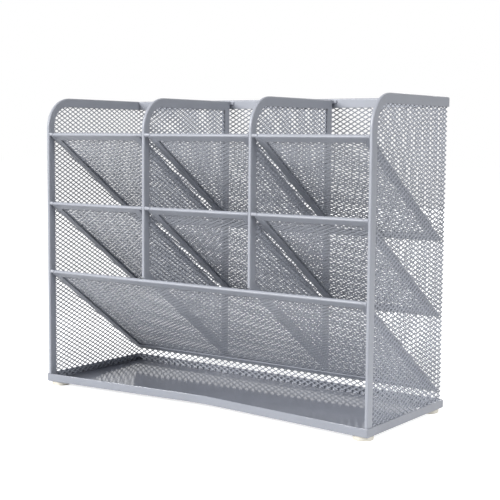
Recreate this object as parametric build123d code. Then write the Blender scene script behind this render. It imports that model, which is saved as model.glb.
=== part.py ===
"""Desk organizer of expanded metal: slanted pockets in three bays over an open tray."""
import os
from math import atan2, ceil, cos, hypot, sin, tan

from build123d import *

# Overall sizes, in millimetres
body_width = 260.0            # across the outer faces of the side rims
body_depth = 97.0             # front of the posts to the back of the back rim
body_height = 200.0           # underside of the tray to the top of the side rims

# Expanded mesh: the gaps are drawn larger than the real ones, with the same proportions
mesh_thickness = 0.8
gap_long_pitch = 46.0
gap_short_pitch = 23.0
strand_width = 3.8
smallest_gap_area = 12.0

# Strip folded over the edges of the mesh
strip_sheet = 0.75
fold_radius = 0.7
post_strip = 5.6              # width of the strip up the front edges
top_strip = 6.2               # width of the strip along the top edges
divider_strip = 5.6           # width of the strip down the back and along the foot of a divider
corner_radius = 21.0          # top front corner of sides and dividers, outer edge
window_radius = 13.0          # the same corner, inner edge of the strip

# Tray
tray_sheet = 0.8
tray_wall_height = 5.6        # from the underside of the tray
tray_corner_radius = 1.1
lip_recess = 11.0             # how far the front lip is bent in at mid width
lip_bend_radius = 130.0
lip_end = 4.0                 # straight piece of lip at each front corner
lip_end_radius = 20.0

# Feet
foot_diameter = 12.5
foot_height = 2.6
foot_inset = 7.0              # outer face of the tray to the foot's axis
foot_bevel = 0.5

# Dividers
divider_drop = 0.9            # top of a divider below the top of the side rims
divider_back_gap = 0.9        # divider to the back rim
divider_shift = 1.3           # both dividers stand this far right of even spacing
tab_width = 3.2
tab_height = 2.8
tab_drop = 0.6                # top of the tab below the top of the divider

# Shelves, with heights from the underside of the tray
top_rail_height = 176.3       # upper front edge of the highest shelf
rail_pitch = 48.0
top_shelf_fall = 67.4         # how far the highest shelf drops from front to back
shelf_fall_step = 0.85        # each lower tier drops this much more
shelf_strip = 5.8             # width of the strip round a shelf
shelf_play = 1.1              # the narrowest bay is wider than its shelf by this
shelf_corner_radius = 4.0     # front corners of a shelf
shelf_back_clearance = 0.2    # back edge of a shelf to the back mesh
weld_setback = 1.5            # front edge of a shelf to the middle of the welds at its corners
weld_length = 2.6             # length of a weld along the shelf's own front edge
weld_width = 1.8
weld_height = 1.9

# Values worked out from the sizes above
strip_thickness = mesh_thickness + 2 * strip_sheet
front_y = -body_depth / 2
back_y = body_depth / 2
tray_z = foot_height
floor_z = tray_z + tray_sheet
top_z = tray_z + body_height
divider_top_z = top_z - divider_drop
side_x = (body_width - strip_thickness) / 2
back_plane_y = back_y - strip_thickness / 2
back_mesh_front_y = back_plane_y - mesh_thickness / 2
bay_width = (body_width - 4 * strip_thickness) / 3
divider_pitch = bay_width + strip_thickness
divider_back_y = back_y - strip_thickness - divider_back_gap
inner_width = body_width - 2 * strip_thickness
shelf_width = bay_width - divider_shift - shelf_play


def upright_plane(x):
    """Plane of a side or divider: its first axis along Y, its second along Z."""
    return Plane(origin=(x, 0, 0), x_dir=(0, 1, 0), z_dir=(1, 0, 0))


def rectangle(left, right, low, high):
    """Rectangular face between four coordinates of a panel's plane."""
    return Pos((left + right) / 2, (low + high) / 2) * Rectangle(right - left, high - low)


def slab(face, thickness):
    """Plate of a given thickness about the plane of a face."""
    return Pos(0, 0, -thickness / 2) * extrude(face, amount=thickness)


def upright_outline(front, back, top, radius, foot_front, foot_back):
    """Face of a side or divider: rounded top front corner, foot edge level or sloping."""
    rise = Line((front, foot_front), (front, top - radius))
    corner = RadiusArc((front, top - radius), (front + radius, top), radius)
    rest = Polyline((front + radius, top), (back, top), (back, foot_back), (front, foot_front))
    return make_face([rise, corner, rest])


def mesh_gaps(window):
    """Diamond gaps in staggered rows, trimmed to the window that the strips leave open."""
    half_long = gap_long_pitch / 2
    half_short = gap_short_pitch / 2
    share = 1 - strand_width / 2 * hypot(half_long, half_short) / (half_long * half_short)
    diamond = make_face(
        Polyline(
            (half_long * share, 0),
            (0, half_short * share),
            (-half_long * share, 0),
            (0, -half_short * share),
            close=True,
        )
    )
    panel = window.faces()[0]
    box = panel.bounding_box()
    centre = box.center()
    columns = ceil(box.size.X / gap_long_pitch / 2) + 1
    rows = ceil(box.size.Y / gap_short_pitch) + 1
    gaps = []
    for row in range(-rows, rows + 1):
        stagger = half_long * (row % 2)
        for column in range(-columns, columns + 1):
            x = centre.X + stagger + column * gap_long_pitch
            y = centre.Y + row * half_short
            gap = Pos(x, y) * diamond
            if not all(panel.is_inside(corner.center()) for corner in gap.vertices()):
                gap = panel & gap
            if gap is not None:
                gaps += [face for face in gap.faces() if face.area > smallest_gap_area]
    return gaps


def mesh_sheet(sheet, window):
    """Mesh panel: one holed face given its thickness about the plane's middle."""
    gaps = [gap.outer_wire() for gap in mesh_gaps(window)]
    return slab(Face(sheet.faces()[0].outer_wire(), gaps), mesh_thickness)


def folded_strip(outer, sheet, window, keep_sharp=()):
    """Strip folded over a panel's edge: a plate with a rounded fold, less the slot and the window."""
    plate = slab(outer, strip_thickness)
    levels = plate.edges().group_by(Axis.Z)
    fold = [edge for edge in levels[0] + levels[-1] if not on_any(edge, keep_sharp)]
    plate = fillet(fold, fold_radius)
    return plate - slab(sheet, mesh_thickness) - slab(window, 2 * strip_thickness)


def on_any(edge, lines):
    """Whether an edge lies on one of the lines, each given as an axis name and a coordinate."""
    middle = edge.center()
    return any(abs(getattr(middle, axis) - place) < fold_radius / 10 for axis, place in lines)


def make_tray():
    """Sheet tray with low walls, whose front edge is bent in to a shallow V."""
    side = body_width / 2 + tray_sheet
    front = front_y - tray_sheet
    back = back_y + tray_sheet
    corners = [
        (-side, front, tray_corner_radius),
        (lip_end - side, front, lip_end_radius),
        (0, front + lip_recess, lip_bend_radius),
        (side - lip_end, front, lip_end_radius),
        (side, front, tray_corner_radius),
        (side, back, tray_corner_radius),
        (-side, back, tray_corner_radius),
    ]
    points = [(x, y) for x, y, radius in corners]
    radii = [radius for x, y, radius in corners]
    outline = make_face(FilletPolyline(*points, radius=radii, close=True))
    inside = offset(outline, amount=-tray_sheet)
    block = extrude(outline, amount=tray_wall_height)
    hollow = Pos(0, 0, tray_sheet) * extrude(inside, amount=tray_wall_height)
    return Pos(0, 0, tray_z) * (block - hollow)


def make_foot(side, end):
    """Round pad under one corner of the tray."""
    x = side * (body_width / 2 + tray_sheet - foot_inset)
    y = end * (body_depth / 2 + tray_sheet - foot_inset)
    pad = extrude(Circle(foot_diameter / 2), amount=foot_height)
    pad = chamfer(pad.edges().group_by(Axis.Z)[0], foot_bevel)
    return Pos(x, y, 0) * pad


def make_left_side():
    """Mesh and rim of the left side; the right side is their mirror image."""
    outer = upright_outline(front_y, back_y, top_z, corner_radius, floor_z, floor_z)
    sheet = upright_outline(
        front_y + strip_sheet,
        back_y - strip_sheet,
        top_z - strip_sheet,
        corner_radius - strip_sheet,
        floor_z,
        floor_z,
    )
    window = upright_outline(
        front_y + post_strip, back_y, top_z - top_strip, window_radius, floor_z, floor_z
    )
    slot = upright_outline(
        front_y + strip_sheet, back_y, top_z - strip_sheet, corner_radius - strip_sheet, floor_z, floor_z
    )
    open_window = rectangle(front_y + post_strip, back_mesh_front_y - strand_width, floor_z, top_z)
    mesh = mesh_sheet(sheet, window & open_window & foot_margin(front_y, back_y))
    rim = folded_strip(outer, slot, window, keep_sharp=(("X", back_y), ("Y", floor_z)))
    back_sheet = rectangle(
        back_mesh_front_y, back_mesh_front_y + mesh_thickness, floor_z, top_z - strip_sheet
    )
    rim -= extrude(back_sheet, amount=strip_thickness)
    place = upright_plane(-side_x)
    return place * mesh, place * rim


def foot_margin(low, high):
    """Region above the solid strand that stands on the tray's floor."""
    return rectangle(low, high, floor_z + strand_width / 2, top_z)


def make_back():
    """Mesh of the back between the side meshes, and the strip over its top edge."""
    half_mesh = side_x - mesh_thickness / 2
    half_rim = inner_width / 2
    sheet = rectangle(-half_mesh, half_mesh, floor_z, top_z - strip_sheet)
    window = rectangle(
        strand_width - half_mesh, half_mesh - strand_width, floor_z + strand_width / 2, top_z - top_strip
    )
    mesh = mesh_sheet(sheet, window)
    outer = rectangle(-half_rim, half_rim, top_z - top_strip - strip_sheet, top_z)
    below = rectangle(-half_rim, half_rim, floor_z, top_z - top_strip)
    sharp = (("X", -half_rim), ("X", half_rim), ("Y", top_z - top_strip - strip_sheet))
    rim = folded_strip(outer, sheet, below, keep_sharp=sharp)
    place = Plane(origin=(0, back_plane_y, 0), x_dir=(1, 0, 0), z_dir=(0, -1, 0))
    return place * mesh, place * rim


class Shelf:
    """Place of one tier: its slope, its length and the plane through the middle of its mesh."""

    def __init__(self, tier):
        upper_front = tray_z + top_rail_height - tier * rail_pitch
        reach = back_mesh_front_y - shelf_back_clearance - front_y
        self.slope = atan2(top_shelf_fall + tier * shelf_fall_step, reach)
        self.length = (reach - strip_thickness * sin(self.slope)) / cos(self.slope)
        self.middle_y = front_y + strip_thickness / 2 * sin(self.slope)
        self.middle_z = upper_front - strip_thickness / 2 * cos(self.slope)

    def plane(self, x):
        """Plane of the shelf centred at x: its first axis along X, its second down the slope."""
        normal = (0, sin(self.slope), cos(self.slope))
        return Plane(origin=(x, self.middle_y, self.middle_z), x_dir=(1, 0, 0), z_dir=normal)

    def upper_z(self, y):
        """Height of the shelf's upper face at y."""
        above = strip_thickness / 2 / cos(self.slope)
        return self.middle_z + above - (y - self.middle_y) * tan(self.slope)


def make_divider(bottom_shelf):
    """Mesh and rim of a divider that stands on the lowest shelf, in its own plane."""

    def outline(front, back, top, radius, lift):
        rise = lift / cos(bottom_shelf.slope)
        foot_front = bottom_shelf.upper_z(front) + rise
        foot_back = bottom_shelf.upper_z(back) + rise
        return upright_outline(front, back, top, radius, foot_front, foot_back)

    outer = outline(front_y, divider_back_y, divider_top_z, corner_radius, 0)
    sheet = outline(
        front_y + strip_sheet,
        divider_back_y - strip_sheet,
        divider_top_z - strip_sheet,
        corner_radius - strip_sheet,
        strip_sheet,
    )
    window = outline(
        front_y + post_strip,
        divider_back_y - divider_strip,
        divider_top_z - top_strip,
        window_radius,
        divider_strip,
    )
    return mesh_sheet(sheet, window), folded_strip(outer, sheet, window) + make_tab()


def make_tab():
    """Tab at a divider's top back corner, bent to lie against the back rim."""
    rim_face_y = back_y - strip_thickness
    high = divider_top_z - tab_drop
    low = high - tab_height
    leg = rectangle(divider_back_y - strip_sheet, rim_face_y, low, high)
    pad = rectangle(rim_face_y - strip_sheet, rim_face_y, low, high)
    near_face = strip_thickness / 2 - strip_sheet
    leg_solid = extrude(leg, amount=strip_sheet)
    pad_solid = extrude(pad, amount=tab_width)
    return Pos(0, 0, near_face) * (leg_solid + pad_solid)


def shelf_face(half, front, back, radius):
    """Face of a shelf with rounded front corners."""
    face = rectangle(-half, half, front, back)
    return fillet(face.vertices().group_by(Axis.Y)[0], radius)


def weld(start, end):
    """Weld at a front corner of a shelf, along X between two coordinates."""
    return Pos((start + end) / 2, weld_setback, 0) * Box(end - start, weld_width, weld_height)


def make_shelf(shelf, width, left_gap=0.0, right_gap=0.0):
    """Mesh and rim of a shelf, in its own plane, with welds across the gaps at its front corners."""
    half = width / 2
    far = shelf.length
    outer = rectangle(-half, half, 0, far)
    rounded = shelf_face(half, 0, far, shelf_corner_radius)
    sheet = shelf_face(
        half - strip_sheet, strip_sheet, far - strip_sheet, shelf_corner_radius - strip_sheet
    )
    window = rectangle(shelf_strip - half, half - shelf_strip, shelf_strip, far - shelf_strip)
    rim = folded_strip(outer, sheet, window) & slab(rounded, strip_thickness)
    welds = weld(-half - left_gap, weld_length - half) + weld(half - weld_length, half + right_gap)
    return mesh_sheet(sheet, window), rim + (welds - slab(sheet, mesh_thickness))


def make_nodes():
    """Every piece of the organizer, by name."""
    nodes = {"base_tray": make_tray()}
    for end_name, end in (("front", -1), ("rear", 1)):
        for side_name, side in (("left", -1), ("right", 1)):
            nodes[f"foot_{end_name}_{side_name}"] = make_foot(side, end)

    left_mesh, left_rim = make_left_side()
    nodes["left_side_mesh"] = left_mesh
    nodes["left_side_rim"] = left_rim
    nodes["right_side_mesh"] = mirror(left_mesh, about=Plane.YZ)
    nodes["right_side_rim"] = mirror(left_rim, about=Plane.YZ)
    nodes["back_mesh"], nodes["back_rim"] = make_back()

    tiers = [Shelf(tier) for tier in range(3)]
    bottom = tiers[2]
    mesh, rim = make_divider(bottom)
    for side_name, side in (("left", -1), ("right", 1)):
        place = upright_plane(side * divider_pitch / 2 + divider_shift)
        nodes[f"{side_name}_divider_mesh"] = place * mesh
        nodes[f"{side_name}_divider_rim"] = place * rim

    outer_gap = bay_width + divider_shift - shelf_width
    middle_gap = (bay_width - shelf_width) / 2
    bays = (
        ("left", (shelf_width - inner_width) / 2, 0.0, outer_gap),
        ("middle", divider_shift, middle_gap, middle_gap),
        ("right", (inner_width - shelf_width) / 2, shelf_play, 0.0),
    )
    for tier_name, shelf in (("top", tiers[0]), ("middle", tiers[1])):
        for bay_name, centre_x, left_gap, right_gap in bays:
            mesh, rim = make_shelf(shelf, shelf_width, left_gap, right_gap)
            place = shelf.plane(centre_x)
            nodes[f"{tier_name}_{bay_name}_shelf_mesh"] = place * mesh
            nodes[f"{tier_name}_{bay_name}_shelf_rim"] = place * rim

    mesh, rim = make_shelf(bottom, inner_width)
    nodes["bottom_shelf_mesh"] = bottom.plane(0) * mesh
    nodes["bottom_shelf_rim"] = bottom.plane(0) * rim
    return nodes


os.makedirs("parts", exist_ok=True)
for node_name, node_shape in make_nodes().items():
    export_step(node_shape, f"parts/{node_name}.step")
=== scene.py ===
"""Desk organizer of expanded metal: fine mesh, folded strips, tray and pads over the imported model."""
import math

import bmesh
import bpy
from mathutils import Matrix, Vector


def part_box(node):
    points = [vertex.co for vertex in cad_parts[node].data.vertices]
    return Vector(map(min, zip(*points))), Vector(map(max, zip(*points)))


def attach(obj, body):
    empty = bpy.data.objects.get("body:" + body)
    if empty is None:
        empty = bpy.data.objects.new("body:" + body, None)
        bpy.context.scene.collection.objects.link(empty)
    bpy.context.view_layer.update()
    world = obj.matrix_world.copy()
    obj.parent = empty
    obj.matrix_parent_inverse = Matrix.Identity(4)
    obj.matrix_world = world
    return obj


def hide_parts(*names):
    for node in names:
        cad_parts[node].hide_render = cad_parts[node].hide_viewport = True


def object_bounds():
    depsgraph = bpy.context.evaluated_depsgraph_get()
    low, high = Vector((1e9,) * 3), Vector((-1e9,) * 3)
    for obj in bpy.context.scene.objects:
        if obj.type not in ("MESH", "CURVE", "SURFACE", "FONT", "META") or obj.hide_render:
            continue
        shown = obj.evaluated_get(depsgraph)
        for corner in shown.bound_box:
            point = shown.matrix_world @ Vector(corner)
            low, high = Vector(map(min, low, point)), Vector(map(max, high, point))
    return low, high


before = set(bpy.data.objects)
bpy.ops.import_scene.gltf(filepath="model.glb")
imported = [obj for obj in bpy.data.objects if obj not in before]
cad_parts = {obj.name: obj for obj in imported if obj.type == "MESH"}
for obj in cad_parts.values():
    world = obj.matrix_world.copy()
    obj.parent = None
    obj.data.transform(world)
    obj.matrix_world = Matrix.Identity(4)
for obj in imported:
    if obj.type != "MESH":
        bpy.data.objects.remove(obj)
cad_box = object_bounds()

mm = 0.001
right_angle = math.pi / 2
full_turn = 2 * math.pi
x_way = Vector((1, 0, 0))
y_way = Vector((0, 1, 0))
z_way = Vector((0, 0, 1))

# Expanded mesh
long_pitch = 5.55 * mm
short_pitch = 3.05 * mm
strand_width = 0.62 * mm
divider_strand_width = 0.6 * mm
shelf_strand_width = 0.52 * mm
strand_thickness = 0.46 * mm
side_tilt = math.radians(-30)     # upper edge of a strand leans towards the outside
divider_tilt = math.radians(20)   # upper edge of a strand leans to the right
shelf_tilt = math.radians(-31)    # front edge of a strand stands higher than its back edge
bond_length = 1.05 * mm
bond_width = 0.72 * mm
bond_swell = 1.1                  # thickness of a bond, in strand thicknesses
mesh_margin = 3.2 * mm            # outer edge of a strip to the last crossings under it
floor_margin = 1.2 * mm           # tray floor to the lowest crossings
probe_height = 1.0 * mm           # start of the ray that finds whether a crossing is in the outline
end_facing = 0.5                  # least share of X in the normal of a strand's end face

# Folded strips
post_strip = 5.6 * mm
top_strip = 6.2 * mm
divider_strip = 5.6 * mm
shelf_strip = 5.8 * mm
upright_radius = 21.0 * mm        # top front corner of sides and dividers, outer edge
upright_window_radius = 13.0 * mm
shelf_radius = 4.0 * mm           # front corners of a shelf
shelf_window_radius = 2.4 * mm
arc_steps = 14                    # of each rounded corner
fold_radius = 0.85 * mm
fold_steps = 6
cut_edge_radius = 0.12 * mm
flat_margin = 0.15 * mm           # keeps a strip's faces flat beside its fold and its cut edge
groove_depth = 1.2 * mm           # how far the mesh slot shows between the strip's cut edges
seam_width = 0.35 * mm
seam_depth = 0.22 * mm
slope_rounds = 8                  # of working out a shelf's slope from its box

# Welds at the front corners of a shelf
weld_setback = 0.8 * mm           # front edge of the shelf to the weld's middle line
weld_length = 2.8 * mm            # part of the weld that lies on the shelf
weld_radius = 1.05 * mm           # at the end on the shelf
weld_flare = 0.4 * mm             # how much thicker it is where it meets a post
weld_stations = 7
weld_spokes = 12

# Tabs at the dividers' back corners
tab_width = 3.2 * mm
tab_height = 2.2 * mm
tab_drop = 0.1 * mm

# Tray
lip_recess = 11.0 * mm            # depth of the V in the front edge
lip_bend_radius = 130.0 * mm
lip_end = 4.0 * mm                # straight end of the front edge beside each corner
lip_end_radius = 20.0 * mm
tray_corner_radius = 1.1 * mm
tray_bend_radius = 1.05 * mm
tray_bend_steps = 5

# Feet
foot_round = 0.7 * mm
foot_round_steps = 6
foot_band = 0.35 * mm             # height and recess of the adhesive above a pad
foot_steps = 48

# Surfaces
merge_distance = 0.002 * mm       # points nearer than this become one
crease_angle = math.radians(38)   # edges bent more than this stay sharp

# Powder coat, with each grain as waves per metre and detail
cloud_grain = (45.0, 2.0)
flake_grain = (5200.0, 1.0)
skin_grain = (1100.0, 2.0)
cloud_tone = 0.55                 # shares of the tone between the dark and the light colour
flake_tone = 0.45
least_roughness = 0.61            # shares of a coat's own roughness
flake_roughness = 0.5
cloud_roughness = 0.28
skin_strength = 0.35

# Pad rubber
soil_grain = (220.0, 3.0)
rubber_grain = (2600.0, 2.0)
soiled_white = (0.62, 0.58, 0.50, 1)
clean_white = (0.80, 0.77, 0.70, 1)
rubber_roughness = 0.55
rubber_roughness_range = 0.2
rubber_strength = 0.4
rubber_depth = 0.05 * mm

# Camera, as solved for the photograph
camera_place = Vector((453.1, -618.7, 175.4)) * mm
camera_target = Vector((0.0, 14.7, 99.7)) * mm
camera_roll = math.radians(0.47)
camera_lens = 82.5

# Studio floor: metres from the object's axis, and its glow and its matt colour near and far; the matt
# colour is painted light falloff, paler near the object and darker further out
floor_reach = 6.0
glow_start = 0.16
glow_end = 0.36
near_glow = 0.72
far_glow = 1.0
painted_falloff_start = 0.22
painted_falloff_end = 0.6
near_painted_falloff = 0.84
far_painted_falloff = 0.4

# Surroundings
white = (1, 1, 1, 1)
white_strength = 1.0
ambient_colour = (0.95, 0.97, 1, 1)
ambient_strength = 0.03

# Lamps: name, place, size in metres, power in watts, height faced, spread in degrees
middle_z = (cad_box[0].z + cad_box[1].z) / 2
lamps = (
    ("key_lamp", (-0.98, -1.98, 1.08), 1.2, 75, middle_z, 180),
    ("right_lamp", (1.8, -0.3, 1.4), 1.0, 24.5, middle_z, 180),
    ("low_lamp", (0.4, 0.02, 0.09), 0.12, 0.032, -0.03, 64),
    ("back_lamp", (-0.6, 2.1, 0.45), 0.7, 17, middle_z, 180),
)


class Wire:
    """An output socket; each arithmetic operator adds a Math node to its board."""

    def __init__(self, board, socket):
        self.board = board
        self.socket = socket

    def beside(self, output):
        """Another output of the same node."""
        return Wire(self.board, pick(self.socket.node.outputs, output))

    def reckon(self, operation, first, second):
        """Result of a Math node."""
        return self.board.node("ShaderNodeMath", {"operation": operation}, {0: first, 1: second})

    def __add__(self, other):
        return self.reckon("ADD", self, other)

    def __radd__(self, other):
        return self.reckon("ADD", other, self)

    def __sub__(self, other):
        return self.reckon("SUBTRACT", self, other)

    def __rsub__(self, other):
        return self.reckon("SUBTRACT", other, self)

    def __mul__(self, other):
        return self.reckon("MULTIPLY", self, other)

    def __rmul__(self, other):
        return self.reckon("MULTIPLY", other, self)

    def __truediv__(self, other):
        return self.reckon("DIVIDE", self, other)

    def __rtruediv__(self, other):
        return self.reckon("DIVIDE", other, self)


class Board:
    """A node tree that is filled in by node()."""

    def __init__(self, tree):
        self.tree = tree

    def node(self, kind, settings=None, inputs=None, output=0):
        """Adds a node, with its settings first and then the values or links of its sockets."""
        made = self.tree.nodes.new(kind)
        for name, value in (settings or {}).items():
            setattr(made, name, value)
        for key, value in (inputs or {}).items():
            self.feed(pick(made.inputs, key), value)
        return Wire(self, pick(made.outputs, output)) if made.outputs else None

    def feed(self, socket, value):
        """Gives a socket one link, several links or a plain value."""
        if isinstance(value, Wire):
            self.tree.links.new(value.socket, socket)
        elif isinstance(value, list):
            for wire in value:
                self.tree.links.new(wire.socket, socket)
        else:
            socket.default_value = value


def pick(sockets, key):
    """A socket by its number, its identifier or its name."""
    if isinstance(key, int):
        return sockets[key]
    for socket in sockets:
        if socket.identifier == key:
            return socket
    return sockets[key]


def new_finish(name):
    """An empty material and the board that its nodes go on."""
    material = bpy.data.materials.new(name)
    material.use_nodes = True
    material.node_tree.nodes.clear()
    return material, Board(material.node_tree)


def close_finish(board, shader):
    """Joins a shader to the material's output."""
    board.node("ShaderNodeOutputMaterial", inputs={"Surface": shader})


def noise(board, place, grain):
    """Noise of a given grain."""
    scale, detail = grain
    return board.node(
        "ShaderNodeTexNoise", inputs={"Vector": place, "Scale": scale, "Detail": detail}, output="Fac"
    )


def blend(board, share, low, high):
    """Colour between two colours."""
    return board.node(
        "ShaderNodeMix",
        {"data_type": "RGBA"},
        {"Factor_Float": share, "A_Color": low, "B_Color": high},
        output="Result_Color",
    )


def relief(board, height, strength, depth):
    """Normal of a surface that a pattern dimples to a depth."""
    return board.node(
        "ShaderNodeBump", inputs={"Strength": strength, "Distance": depth, "Height": height}
    )


def coated_shader(board, colour, roughness, normal):
    """Shader of a painted or moulded surface."""
    return board.node(
        "ShaderNodeBsdfPrincipled",
        inputs={"Base Color": colour, "Roughness": roughness, "Normal": normal},
    )


def powder_coat(name, dark, light, roughness, skin_depth):
    """Silver-grey powder coat: cloudy tone, fine metal flake and the dimpled skin of baked powder."""
    material, board = new_finish(name)
    place = board.node("ShaderNodeTexCoord", output="Object")
    cloud = noise(board, place, cloud_grain)
    flake = noise(board, place, flake_grain)
    skin = noise(board, place, skin_grain)
    colour = blend(board, cloud * cloud_tone + flake * flake_tone, dark, light)
    gloss = (least_roughness + flake * flake_roughness + cloud * cloud_roughness) * roughness
    normal = relief(board, skin, skin_strength, skin_depth)
    close_finish(board, coated_shader(board, colour, gloss, normal))
    return material


def pad_rubber(name):
    """Off-white pad with a matt, slightly soiled skin."""
    material, board = new_finish(name)
    place = board.node("ShaderNodeTexCoord", output="Object")
    soil = noise(board, place, soil_grain)
    grain = noise(board, place, rubber_grain)
    colour = blend(board, soil, soiled_white, clean_white)
    gloss = rubber_roughness + grain * rubber_roughness_range
    normal = relief(board, grain, rubber_strength, rubber_depth)
    close_finish(board, coated_shader(board, colour, gloss, normal))
    return material


strip_coat = powder_coat(
    "strip_powder_coat",
    dark=(0.29, 0.305, 0.345, 1),
    light=(0.40, 0.42, 0.475, 1),
    roughness=0.36,
    skin_depth=0.03 * mm,
)
mesh_coat = powder_coat(
    "mesh_powder_coat",
    dark=(0.29, 0.305, 0.345, 1),
    light=(0.41, 0.43, 0.485, 1),
    roughness=0.27,
    skin_depth=0.02 * mm,
)
# Same powder coat as the strips, painted darker: painted shade for the tray under the bottom shelf. Its
# low roughness is the tray's own gloss.
shaded_tray_coat = powder_coat(
    "tray_powder_coat_painted_shade",
    dark=(0.25, 0.264, 0.302, 1),
    light=(0.34, 0.358, 0.408, 1),
    roughness=0.07,
    skin_depth=0.004 * mm,
)
pad_coat = pad_rubber("off_white_pad")


def centre_of(node):
    """Middle of a node's box."""
    low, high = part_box(node)
    return (low + high) / 2


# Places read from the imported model
side_low, side_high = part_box("left_side_rim")
strip_thickness = side_high.x - side_low.x
front_y, back_y = side_low.y, side_high.y
floor_z, top_z = side_low.z, side_high.z
side_x = -centre_of("left_side_mesh").x
back_plane_y = centre_of("back_mesh").y
sheet_low, sheet_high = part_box("left_side_mesh")
mesh_slot = sheet_high.x - sheet_low.x
strip_sheet = (strip_thickness - mesh_slot) / 2
back_rim_low, back_rim_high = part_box("back_rim")
tray_low, tray_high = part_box("base_tray")
tray_sheet = floor_z - tray_low.z
divider_mesh_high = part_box("left_divider_mesh")[1]
divider_back_y = divider_mesh_high.y + strip_sheet
divider_top_z = divider_mesh_high.z + strip_sheet


class Panel:
    """Flat place of a mesh panel: origin, long way of the mesh and the way across it."""

    def __init__(self, origin, along, across):
        columns = (along, across, along.cross(across), origin)
        self.matrix = Matrix([[column[row] for column in columns] for row in range(3)]).to_4x4()

    def point(self, flat, height):
        """Place of a point of the panel at a height over it."""
        return self.matrix @ Vector((flat.x, flat.y, height))


class Shelf:
    """Slope, length, width and welds of a shelf, worked out from the boxes of its rim and mesh."""

    def __init__(self, name):
        low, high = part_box(f"{name}_rim")
        mesh_low, mesh_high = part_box(f"{name}_mesh")
        depth = high.y - low.y
        fall = high.z - low.z
        slope = 0.0
        for _ in range(slope_rounds):
            rise = fall - strip_thickness * math.cos(slope)
            run = depth - strip_thickness * math.sin(slope)
            slope = math.atan2(rise, run)
        self.slope = slope
        self.length = math.hypot(rise, run)
        self.half = (mesh_high.x - mesh_low.x) / 2 + strip_sheet
        middle_x = (mesh_low.x + mesh_high.x) / 2
        self.weld_reach = (low.x - middle_x, high.x - middle_x)
        origin = Vector((
            middle_x,
            low.y + strip_thickness / 2 * math.sin(slope),
            high.z - strip_thickness / 2 * math.cos(slope),
        ))
        self.panel = Panel(origin, x_way, Vector((0, math.cos(slope), -math.sin(slope))))

    def upper_z(self, y):
        """Height of the shelf's upper face at y."""
        origin = self.panel.matrix.translation
        above = strip_thickness / 2 / math.cos(self.slope)
        return origin.z + above - (y - origin.y) * math.tan(self.slope)


def side_panel(x):
    """Panel of a side or divider."""
    return Panel(Vector((x, 0, 0)), y_way, z_way)


back_panel = Panel(Vector((0, back_plane_y, 0)), x_way, z_way)


def angles(turn, steps):
    """Angles from nought to a turn, in even steps."""
    return [turn * step / steps for step in range(steps + 1)]


def rounded(corners):
    """Points along an outline whose corners are (x, y, radius), where a radius of nought is sharp."""
    points = []
    for index, (x, y, radius) in enumerate(corners):
        here = Vector((x, y))
        if radius == 0:
            points.append(here)
            continue
        last = corners[index - 1]
        following = corners[(index + 1) % len(corners)]
        to_last = (Vector(last[:2]) - here).normalized()
        to_next = (Vector(following[:2]) - here).normalized()
        half_angle = to_last.angle(to_next) / 2
        centre = here + (to_last + to_next).normalized() * radius / math.sin(half_angle)
        reach = radius / math.tan(half_angle)
        spoke = here + to_last * reach - centre
        end_spoke = here + to_next * reach - centre
        turn = math.atan2(spoke.cross(end_spoke), spoke.dot(end_spoke))
        for angle in angles(turn, arc_steps):
            points.append(centre + Matrix.Rotation(angle, 2) @ spoke)
    return points


def upright_corners(front, back, top, foot_front, foot_back, radius):
    """Corners of a side or divider, from its front foot over its top to its back foot."""
    return [(front, foot_front, 0), (front, top, radius), (back, top, 0), (back, foot_back, 0)]


def divider_outline(bottom, front, back, top, lift, radius):
    """Outline of a divider over the bottom shelf, lifted square off its slope."""
    rise = lift / math.cos(bottom.slope)
    foot_front = bottom.upper_z(front) + rise
    foot_back = bottom.upper_z(back) + rise
    return rounded(upright_corners(front, back, top, foot_front, foot_back, radius))


def box_outline(left, right, low, high):
    """Four corners of a rectangle."""
    return [Vector(corner) for corner in ((left, low), (right, low), (right, high), (left, high))]


def new_object(name, data):
    """Object that is linked to the scene."""
    made = bpy.data.objects.new(name, data)
    bpy.context.scene.collection.objects.link(made)
    return made


def finish_piece(mesh, name, node):
    """Object for a finished mesh, riding on the body and standing for its node."""
    piece = new_object(name, mesh)
    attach(piece, "root")
    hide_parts(node)


def mesh_from(shape, name, material):
    """Plain mesh of a bmesh, with outward faces, smooth but for its sharp edges."""
    bmesh.ops.remove_doubles(shape, verts=shape.verts, dist=merge_distance)
    bmesh.ops.recalc_face_normals(shape, faces=shape.faces)
    mesh = bpy.data.meshes.new(name)
    shape.to_mesh(mesh)
    shape.free()
    mesh.shade_smooth()
    mesh.set_sharp_from_angle(angle=crease_angle)
    mesh.materials.append(material)
    return mesh


def finish_strip(shape, name, node):
    """Finished piece of folded strip."""
    finish_piece(mesh_from(shape, name, strip_coat), name, node)


def join_rings(shape, rings, closed=False):
    """Faces between rings of as many points each, and either back to the first or across both ends."""
    following_rings = rings[1:] + rings[:1] if closed else rings[1:]
    for ring, following in zip(rings, following_rings):
        for index in range(len(ring)):
            after = (index + 1) % len(ring)
            shape.faces.new((ring[index], ring[after], following[after], following[index]))
    if not closed:
        shape.faces.new(rings[0])
        shape.faces.new(rings[-1])


def strip_section(width):
    """Section of a folded strip: shares of its width from the fold, and heights over the mesh."""
    half = strip_thickness / 2
    slot = mesh_slot / 2
    upper = [
        (width - groove_depth, slot),
        (width, slot),
        (width, half - cut_edge_radius),
        (width - cut_edge_radius, half),
        (width - cut_edge_radius - flat_margin, half),
        (fold_radius + flat_margin, half),
    ]
    for angle in angles(right_angle, fold_steps):
        across = fold_radius * (1 - math.sin(angle))
        upper.append((across, half - fold_radius * (1 - math.cos(angle))))
    lower = [(across, -height) for across, height in reversed(upper)]
    return [(across / width, height) for across, height in upper + lower]


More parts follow.
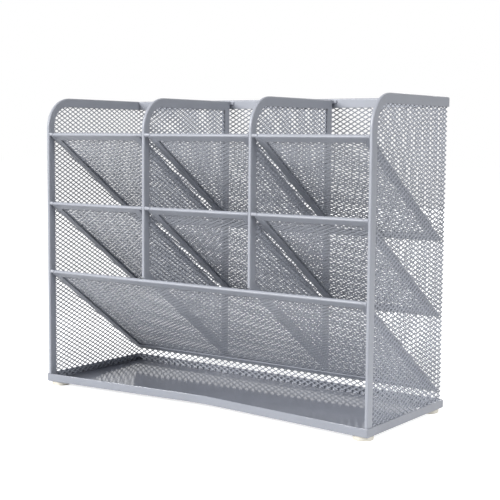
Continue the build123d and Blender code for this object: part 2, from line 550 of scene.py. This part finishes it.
def add_strip(shape, panel, outer, inner, width, closed, seams=()):
    """Sweeps a folded strip between an outer and an inner outline, sunk at the stations of seams."""
    section = strip_section(width)
    rings = []
    for index, (edge, window) in enumerate(zip(outer, inner)):
        depth = seam_depth if index in seams else 0.0
        ring = []
        for share, height in section:
            sunk = height - math.copysign(min(depth, abs(height) / 2), height)
            flat = edge.lerp(window, max(share, depth / width))
            ring.append(shape.verts.new(panel.point(flat, sunk)))
        rings.append(ring)
    join_rings(shape, rings, closed)


def seam_edge(outline, index, way):
    """Point half a seam's width from a station, towards the one before or after it."""
    here = outline[index]
    near = outline[(index + way) % len(outline)]
    share = min(0.5, seam_width / 2 / (near - here).length)
    return here.lerp(near, share)


def with_seams(outline, corners):
    """An outline with three close stations at each given one, the middle one for a seam."""
    stations = []
    for index, here in enumerate(outline):
        if index in corners:
            stations += [seam_edge(outline, index, -1), here, seam_edge(outline, index, 1)]
        else:
            stations.append(here)
    return stations


def make_side_rim(side, x):
    """Strip up the front edge of a side, round its corner and along its top."""
    outer = upright_corners(front_y, back_y, top_z, floor_z, floor_z, upright_radius)
    inner = upright_corners(
        front_y + post_strip, back_y, top_z - top_strip, floor_z, floor_z, upright_window_radius
    )
    to_back = slice(3)            # leaves out the back foot, where the strip doesn't go
    shape = bmesh.new()
    add_strip(
        shape, side_panel(x), rounded(outer[to_back]), rounded(inner[to_back]), post_strip, closed=False
    )
    finish_strip(shape, f"{side}_side_folded_rim", f"{side}_side_rim")


def make_back_rim():
    """Strip over the top edge of the back, between the sides."""
    half = back_rim_high.x
    window_z = top_z - top_strip
    outer = [Vector((-half, top_z)), Vector((half, top_z))]
    inner = [Vector((-half, window_z)), Vector((half, window_z))]
    shape = bmesh.new()
    add_strip(shape, back_panel, outer, inner, top_strip, closed=False)
    finish_strip(shape, "back_folded_rim", "back_rim")


def make_divider_rim(side, x, bottom):
    """Strip all round a divider, with the tab that holds it to the back rim."""
    outer = divider_outline(bottom, front_y, divider_back_y, divider_top_z, 0, upright_radius)
    inner = divider_outline(
        bottom,
        front_y + post_strip,
        divider_back_y - divider_strip,
        divider_top_z - top_strip,
        divider_strip,
        upright_window_radius,
    )
    shape = bmesh.new()
    add_strip(shape, side_panel(x), outer, inner, post_strip, closed=True)
    add_tab(shape, x)
    finish_strip(shape, f"{side}_divider_folded_rim", f"{side}_divider_rim")


def add_tab(shape, x):
    """Tab bent from a divider's strip to lie against the back rim."""
    near = x + strip_thickness / 2 - strip_sheet / 2
    face_y = back_rim_low.y - strip_sheet / 2
    path = rounded([
        (near, divider_back_y - 2 * strip_sheet, 0),
        (near, face_y, strip_sheet),
        (near + tab_width, face_y, 0),
    ])
    high = divider_top_z - tab_drop
    low = high - tab_height
    rings = []
    for index, here in enumerate(path):
        ahead = path[min(index + 1, len(path) - 1)] - path[max(index - 1, 0)]
        across = Vector((-ahead.y, ahead.x)).normalized() * strip_sheet / 2
        one, other = here + across, here - across
        ring = [(*one, high), (*other, high), (*other, low), (*one, low)]
        rings.append([shape.verts.new(point) for point in ring])
    join_rings(shape, rings)


def make_shelf_rim(name, shelf):
    """Strip all round a shelf, with rounded front corners, a seam across each and the welds."""
    half = shelf.half
    window = half - shelf_strip
    outer = rounded([
        (-half, 0, shelf_radius),
        (half, 0, shelf_radius),
        (half, shelf.length, 0),
        (-half, shelf.length, 0),
    ])
    inner = rounded([
        (-window, shelf_strip, shelf_window_radius),
        (window, shelf_strip, shelf_window_radius),
        (window, shelf.length - shelf_strip, 0),
        (-window, shelf.length - shelf_strip, 0),
    ])
    left_corner = arc_steps // 2
    right_corner = left_corner + arc_steps + 1
    corners = (left_corner, right_corner)
    seams = (left_corner + 1, right_corner + 3)    # after one more and three more stations
    shape = bmesh.new()
    add_strip(
        shape,
        shelf.panel,
        with_seams(outer, corners),
        with_seams(inner, corners),
        shelf_strip,
        closed=True,
        seams=seams,
    )
    add_weld(shape, shelf.panel, weld_length - half, shelf.weld_reach[0])
    add_weld(shape, shelf.panel, half - weld_length, shelf.weld_reach[1])
    finish_strip(shape, f"{name}_folded_rim", f"{name}_rim")


def add_weld(shape, panel, start, end):
    """Weld along X from the front strip of a shelf, flared towards the post at its end."""
    rings = []
    for station in range(weld_stations):
        share = station / (weld_stations - 1)
        radius = weld_radius + weld_flare * share * share
        x = start + (end - start) * share
        ring = []
        for angle in angles(full_turn, weld_spokes)[:-1]:
            flat = Vector((x, weld_setback + radius * math.cos(angle)))
            ring.append(shape.verts.new(panel.point(flat, radius * math.sin(angle))))
        rings.append(ring)
    join_rings(shape, rings)


mesh_sizes = (
    "Long pitch",
    "Short pitch",
    "Strand width",
    "Strand thickness",
    "Strand tilt",
    "Bond length",
    "Bond width",
)


def add_input(tree, name, kind):
    """Named input of a node group."""
    return tree.interface.new_socket(name, in_out="INPUT", socket_type=kind)


def vector_math(board, operation, first, second):
    """Sum or difference of two vectors."""
    return board.node("ShaderNodeVectorMath", {"operation": operation}, {0: first, 1: second})


def whole(board, value):
    """Nearest whole number."""
    return board.node("ShaderNodeMath", {"operation": "ROUND"}, {0: value})


def point_grid(board, size_x, size_y, columns, rows):
    """Even grid of points about the origin."""
    return board.node(
        "GeometryNodeMeshGrid",
        inputs={"Size X": size_x, "Size Y": size_y, "Vertices X": columns, "Vertices Y": rows},
        output="Mesh",
    )


def bar(board, length, width, thickness):
    """Straight bar along X."""
    size = board.node("ShaderNodeCombineXYZ", inputs={"X": length, "Y": width, "Z": thickness})
    return board.node("GeometryNodeMeshCube", inputs={"Size": size}, output="Mesh")


def without_ends(board, geometry):
    """A bar without its end faces, where it runs on into the next one."""
    facing = board.node("GeometryNodeInputNormal")
    along = board.node("ShaderNodeSeparateXYZ", inputs={0: facing}, output="X")
    size = board.node("ShaderNodeMath", {"operation": "ABSOLUTE"}, {0: along})
    is_end = board.node("FunctionNodeCompare", {"operation": "GREATER_THAN"}, {0: size, 1: end_facing})
    return board.node(
        "GeometryNodeDeleteGeometry",
        {"domain": "FACE"},
        {"Geometry": geometry, "Selection": is_end},
    )


def turned(board, geometry, tilt, angle):
    """Geometry that is tilted about X and then turned about Z."""
    rotation = board.node("ShaderNodeCombineXYZ", inputs={"X": tilt, "Z": angle})
    return board.node("GeometryNodeTransform", inputs={"Geometry": geometry, "Rotation": rotation})


def mesh_crossings(board, given):
    """Points inside the outline where strands cross, and the steps between them along X and Y."""
    low = board.node("GeometryNodeBoundBox", inputs={0: given["Outline"]}, output="Min")
    high = low.beside("Max")
    span = vector_math(board, "SUBTRACT", high, low)
    span_x = board.node("ShaderNodeSeparateXYZ", inputs={0: span}, output="X")
    span_y = span_x.beside("Y")
    both = vector_math(board, "ADD", high, low)
    middle = board.node("ShaderNodeVectorMath", {"operation": "SCALE"}, {0: both, "Scale": 0.5})
    columns = whole(board, span_x / given["Long pitch"])
    rows = whole(board, span_y / given["Short pitch"])
    step_x = span_x / columns
    step_y = span_y / rows
    corners = point_grid(board, span_x, span_y, columns + 1, rows + 1)
    centres = point_grid(board, span_x - step_x, span_y - step_y, columns, rows)
    lattice = board.node("GeometryNodeJoinGeometry", inputs={0: [corners, centres]})
    lattice = board.node("GeometryNodeTransform", inputs={"Geometry": lattice, "Translation": middle})
    place = board.node("GeometryNodeInputPosition")
    inside = board.node(
        "GeometryNodeRaycast",
        inputs={
            "Target Geometry": given["Outline"],
            "Source Position": vector_math(board, "ADD", place, (0.0, 0.0, probe_height)),
            "Ray Direction": (0.0, 0.0, -1.0),
            "Ray Length": 2 * probe_height,
        },
        output="Is Hit",
    )
    outside = board.node("FunctionNodeBooleanMath", {"operation": "NOT"}, {0: inside})
    crossings = board.node(
        "GeometryNodeDeleteGeometry",
        {"domain": "POINT"},
        {"Geometry": lattice, "Selection": outside},
    )
    return crossings, step_x, step_y


def bonded_cross(board, given, step_x, step_y):
    """Two strands that cross, reaching halfway to the next crossings, and the bond over them."""
    to_next = board.node("ShaderNodeCombineXYZ", inputs={"X": step_x / 2, "Y": step_y / 2})
    length = board.node(
        "ShaderNodeVectorMath", {"operation": "LENGTH"}, {0: to_next}, output="Value"
    )
    lean = board.node("ShaderNodeMath", {"operation": "ARCTAN2"}, {0: step_y, 1: step_x})
    thickness = given["Strand thickness"]
    tilt = given["Strand tilt"]
    strand = without_ends(board, bar(board, length, given["Strand width"], thickness))
    rising = turned(board, strand, tilt, lean)
    falling = turned(board, strand, tilt, 0.0 - lean)
    bond = bar(board, given["Bond length"], given["Bond width"], thickness * bond_swell)
    bond = turned(board, bond, tilt, 0.0)
    return board.node("GeometryNodeJoinGeometry", inputs={0: [rising, falling, bond]})


def expanded_metal():
    """Node group that fills a flat outline with crossed strands, and the identifiers of its inputs."""
    tree = bpy.data.node_groups.new("expanded_metal", "GeometryNodeTree")
    inputs = {"Outline": add_input(tree, "Outline", "NodeSocketGeometry")}
    for name in mesh_sizes:
        inputs[name] = add_input(tree, name, "NodeSocketFloat")
    inputs["Finish"] = add_input(tree, "Finish", "NodeSocketMaterial")
    tree.interface.new_socket("Mesh", in_out="OUTPUT", socket_type="NodeSocketGeometry")
    board = Board(tree)
    outline = board.node("NodeGroupInput", output="Outline")
    given = {name: outline.beside(name) for name in inputs}
    crossings, step_x, step_y = mesh_crossings(board, given)
    cross = bonded_cross(board, given, step_x, step_y)
    placed = board.node(
        "GeometryNodeInstanceOnPoints", inputs={"Points": crossings, "Instance": cross}
    )
    solid = board.node("GeometryNodeRealizeInstances", inputs={0: placed})
    coated = board.node(
        "GeometryNodeSetMaterial", inputs={"Geometry": solid, "Material": given["Finish"]}
    )
    board.node("NodeGroupOutput", inputs={0: coated})
    return tree, {name: socket.identifier for name, socket in inputs.items()}


metal_tree, metal_inputs = expanded_metal()


def make_mesh_piece(node, panel, outline, tilt, width, cuts=()):
    """Expanded mesh over an outline of a panel, cut off at the given planes."""
    flat = bpy.data.meshes.new("outline")
    flat.from_pydata([(point.x, point.y, 0.0) for point in outline], [], [range(len(outline))])
    holder = new_object("outline", flat)
    maker = holder.modifiers.new("mesh", "NODES")
    maker.node_group = metal_tree
    settings = {
        "Long pitch": long_pitch,
        "Short pitch": short_pitch,
        "Strand width": width,
        "Strand thickness": strand_thickness,
        "Strand tilt": tilt,
        "Bond length": bond_length,
        "Bond width": bond_width,
        "Finish": mesh_coat,
    }
    for name, value in settings.items():
        maker[metal_inputs[name]] = value
    evaluated = holder.evaluated_get(bpy.context.evaluated_depsgraph_get())
    mesh = bpy.data.meshes.new_from_object(evaluated)
    bpy.data.objects.remove(holder)
    mesh.name = f"{node}_expanded"
    mesh.transform(panel.matrix)
    for point, facing in cuts:
        cut_off(mesh, point, facing)
    finish_piece(mesh, f"{node}_expanded", node)


def cut_off(mesh, point, facing):
    """Removes what lies beyond a plane."""
    shape = bmesh.new()
    shape.from_mesh(mesh)
    everything = shape.verts[:] + shape.edges[:] + shape.faces[:]
    bmesh.ops.bisect_plane(
        shape, geom=everything, plane_co=point, plane_no=facing, clear_outer=True
    )
    shape.to_mesh(mesh)
    shape.free()


def make_side_mesh(side, x, tilt):
    """Mesh of a side: under the strips in front and above, down into the tray, back to the corner."""
    foot = floor_z + floor_margin
    front = front_y + mesh_margin
    top = top_z - mesh_margin
    corners = upright_corners(front, back_plane_y, top, foot, foot, upright_radius - mesh_margin)
    cuts = [(Vector((0, back_plane_y + strand_thickness / 2, 0)), y_way)]
    make_mesh_piece(f"{side}_side_mesh", side_panel(x), rounded(corners), tilt, strand_width, cuts)


def make_back_mesh():
    """Mesh of the back, from corner to corner."""
    reach = side_x + strand_thickness / 2
    outline = box_outline(-side_x, side_x, floor_z + floor_margin, top_z - mesh_margin)
    cuts = [(Vector((reach, 0, 0)), x_way), (Vector((-reach, 0, 0)), -x_way)]
    make_mesh_piece("back_mesh", back_panel, outline, side_tilt, strand_width, cuts)


def make_divider_mesh(side, x, bottom):
    """Mesh of a divider, within its strips."""
    outline = divider_outline(
        bottom,
        front_y + mesh_margin,
        divider_back_y - mesh_margin,
        divider_top_z - mesh_margin,
        mesh_margin,
        upright_radius - mesh_margin,
    )
    make_mesh_piece(
        f"{side}_divider_mesh", side_panel(x), outline, divider_tilt, divider_strand_width
    )


def make_shelf_mesh(name, shelf):
    """Mesh of a shelf, within its strips."""
    half = shelf.half - mesh_margin
    outline = box_outline(-half, half, mesh_margin, shelf.length - mesh_margin)
    make_mesh_piece(f"{name}_mesh", shelf.panel, outline, shelf_tilt, shelf_strand_width)


def inward_ways(outline):
    """For each point of a closed outline, the step inwards that keeps its edges parallel."""
    ways = []
    for index, here in enumerate(outline):
        before = (here - outline[index - 1]).normalized()
        after = (outline[(index + 1) % len(outline)] - here).normalized()
        way = Vector((-before.y - after.y, before.x + after.x))
        ways.append(way * 2 / way.length_squared)
    return ways


def tray_section():
    """Section of the tray's wall, as insets and heights: outer bend, round edge and inner bend."""
    half = tray_sheet / 2
    inner_radius = tray_bend_radius - tray_sheet
    section = []
    for angle in angles(right_angle, tray_bend_steps):
        inset = tray_bend_radius * (1 - math.sin(angle))
        section.append((inset, tray_low.z + tray_bend_radius * (1 - math.cos(angle))))
    for angle in angles(math.pi, 2 * tray_bend_steps):
        inset = half - half * math.cos(angle)
        section.append((inset, tray_high.z - half + half * math.sin(angle)))
    for angle in reversed(angles(right_angle, tray_bend_steps)):
        inset = tray_sheet + inner_radius * (1 - math.sin(angle))
        section.append((inset, floor_z + inner_radius * (1 - math.cos(angle))))
    return section


def make_tray():
    """Sheet tray with a bent-up rim, whose front edge is drawn in to a shallow V."""
    left, right = tray_low.x, tray_high.x
    front, back = tray_low.y, tray_high.y
    outline = rounded([
        (left, front, tray_corner_radius),
        (left + lip_end, front, lip_end_radius),
        (0, front + lip_recess, lip_bend_radius),
        (right - lip_end, front, lip_end_radius),
        (right, front, tray_corner_radius),
        (right, back, tray_corner_radius),
        (left, back, tray_corner_radius),
    ])
    ways = inward_ways(outline)
    shape = bmesh.new()
    rings = []
    for inset, z in tray_section():
        flats = [here + way * inset for here, way in zip(outline, ways)]
        rings.append([shape.verts.new((flat.x, flat.y, z)) for flat in flats])
    join_rings(shape, rings)
    mesh = mesh_from(shape, "tray_sheet", shaded_tray_coat)
    finish_piece(mesh, "tray_sheet", "base_tray")


def make_foot(name):
    """Round pad, softly rounded below, with a thin recessed band of adhesive above."""
    low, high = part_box(name)
    centre = centre_of(name)
    radius = (high.x - low.x) / 2
    height = high.z - low.z
    profile = [(0, 0)]
    for angle in angles(right_angle, foot_round_steps):
        across = radius - foot_round * (1 - math.sin(angle))
        profile.append((across, foot_round * (1 - math.cos(angle))))
    profile += [
        (radius, height - foot_band),
        (radius - foot_band, height - foot_band),
        (radius - foot_band, height),
        (0, height),
    ]
    shape = bmesh.new()
    verts = [shape.verts.new((centre.x + across, centre.y, low.z + z)) for across, z in profile]
    edges = [shape.edges.new(pair) for pair in zip(verts, verts[1:])]
    bmesh.ops.spin(
        shape,
        geom=verts + edges,
        cent=(centre.x, centre.y, 0),
        axis=z_way,
        angle=full_turn,
        steps=foot_steps,
        use_merge=True,
    )
    mesh = mesh_from(shape, f"{name}_pad", pad_coat)
    finish_piece(mesh, f"{name}_pad", name)


def make_object():
    """Every piece of the organizer."""
    bottom = Shelf("bottom_shelf")
    for side, way in (("left", -1), ("right", 1)):
        make_side_mesh(side, way * side_x, -way * side_tilt)
        make_side_rim(side, way * side_x)
        x = centre_of(f"{side}_divider_mesh").x
        make_divider_mesh(side, x, bottom)
        make_divider_rim(side, x, bottom)
        for end in ("front", "rear"):
            make_foot(f"foot_{end}_{side}")
    make_back_mesh()
    make_back_rim()
    for tier in ("top", "middle"):
        for bay in ("left", "middle", "right"):
            name = f"{tier}_{bay}_shelf"
            shelf = Shelf(name)
            make_shelf_mesh(name, shelf)
            make_shelf_rim(name, shelf)
    make_shelf_mesh("bottom_shelf", bottom)
    make_shelf_rim("bottom_shelf", bottom)
    make_tray()


def background_rays(board):
    """One for rays from the camera and for reflections, nought for the others."""
    camera_ray = board.node("ShaderNodeLightPath", output="Is Camera Ray")
    seen = camera_ray + camera_ray.beside("Is Glossy Ray")
    return seen + camera_ray.beside("Is Transmission Ray")


def fade(board, distance, start, end, near, far):
    """Smooth change from a near to a far value between two distances."""
    return board.node(
        "ShaderNodeMapRange",
        {"interpolation_type": "SMOOTHSTEP"},
        {"Value": distance, "From Min": start, "From Max": end, "To Min": near, "To Max": far},
    )


def make_floor():
    """Pale floor that stays white to the camera but for the object's shadow."""
    material, board = new_finish("studio_floor")
    seen = background_rays(board)
    place = board.node("ShaderNodeTexCoord", output="Object")
    away = board.node("ShaderNodeVectorMath", {"operation": "LENGTH"}, {0: place}, output="Value")
    brightness = fade(board, away, glow_start, glow_end, near_glow, far_glow)
    # Matt colour paler near the object and darker further out: painted light falloff that sets how much
    # light the floor throws back
    painted_falloff_colour = fade(board, away, painted_falloff_start, painted_falloff_end, near_painted_falloff, far_painted_falloff)
    matt = board.node("ShaderNodeBsdfDiffuse", inputs={"Color": painted_falloff_colour})
    glow = board.node("ShaderNodeEmission", inputs={"Color": white, "Strength": seen * brightness})
    close_finish(board, board.node("ShaderNodeAddShader", inputs={0: matt, 1: glow}))
    mesh = bpy.data.meshes.new("studio_floor")
    corners = box_outline(-floor_reach, floor_reach, -floor_reach, floor_reach)
    mesh.from_pydata([(corner.x, corner.y, 0) for corner in corners], [], [(0, 1, 2, 3)])
    mesh.materials.append(material)
    floor = new_object("studio_floor", mesh)


def make_world():
    """White surroundings for the camera and for reflections, and a soft even light elsewhere."""
    world = bpy.data.worlds.new("studio")
    bpy.context.scene.world = world
    world.use_nodes = True
    world.node_tree.nodes.clear()
    board = Board(world.node_tree)
    seen = background_rays(board)
    ambient = board.node(
        "ShaderNodeBackground", inputs={"Color": ambient_colour, "Strength": ambient_strength}
    )
    backdrop = board.node(
        "ShaderNodeBackground", inputs={"Color": white, "Strength": white_strength}
    )
    mixed = board.node("ShaderNodeMixShader", inputs={0: seen, 1: ambient, 2: backdrop})
    board.node("ShaderNodeOutputWorld", inputs={"Surface": mixed})


def make_lamp(name, place, size, power, aim_z, spread):
    """Square soft lamp that faces a height on the object's axis."""
    light = bpy.data.lights.new(name, "AREA")
    light.size = size
    light.energy = power
    light.spread = math.radians(spread)
    lamp = new_object(name, light)
    lamp.location = place
    lamp.visible_camera = False
    aim = Vector((0, 0, aim_z)) - Vector(place)
    lamp.rotation_euler = aim.to_track_quat("-Z", "Y").to_euler()


def make_camera():
    """Camera at the photograph's viewpoint."""
    data = bpy.data.cameras.new("camera")
    data.lens = camera_lens
    camera = new_object("camera", data)
    look = (camera_target - camera_place).to_track_quat("-Z", "Y").to_matrix()
    turn = look @ Matrix.Rotation(camera_roll, 3, "Z")
    camera.matrix_world = Matrix.Translation(camera_place) @ turn.to_4x4()
    bpy.context.scene.camera = camera


make_camera()
make_object()
make_floor()
make_world()
for lamp_values in lamps:
    make_lamp(*lamp_values)
bpy.context.scene.view_settings.view_transform = "Standard"
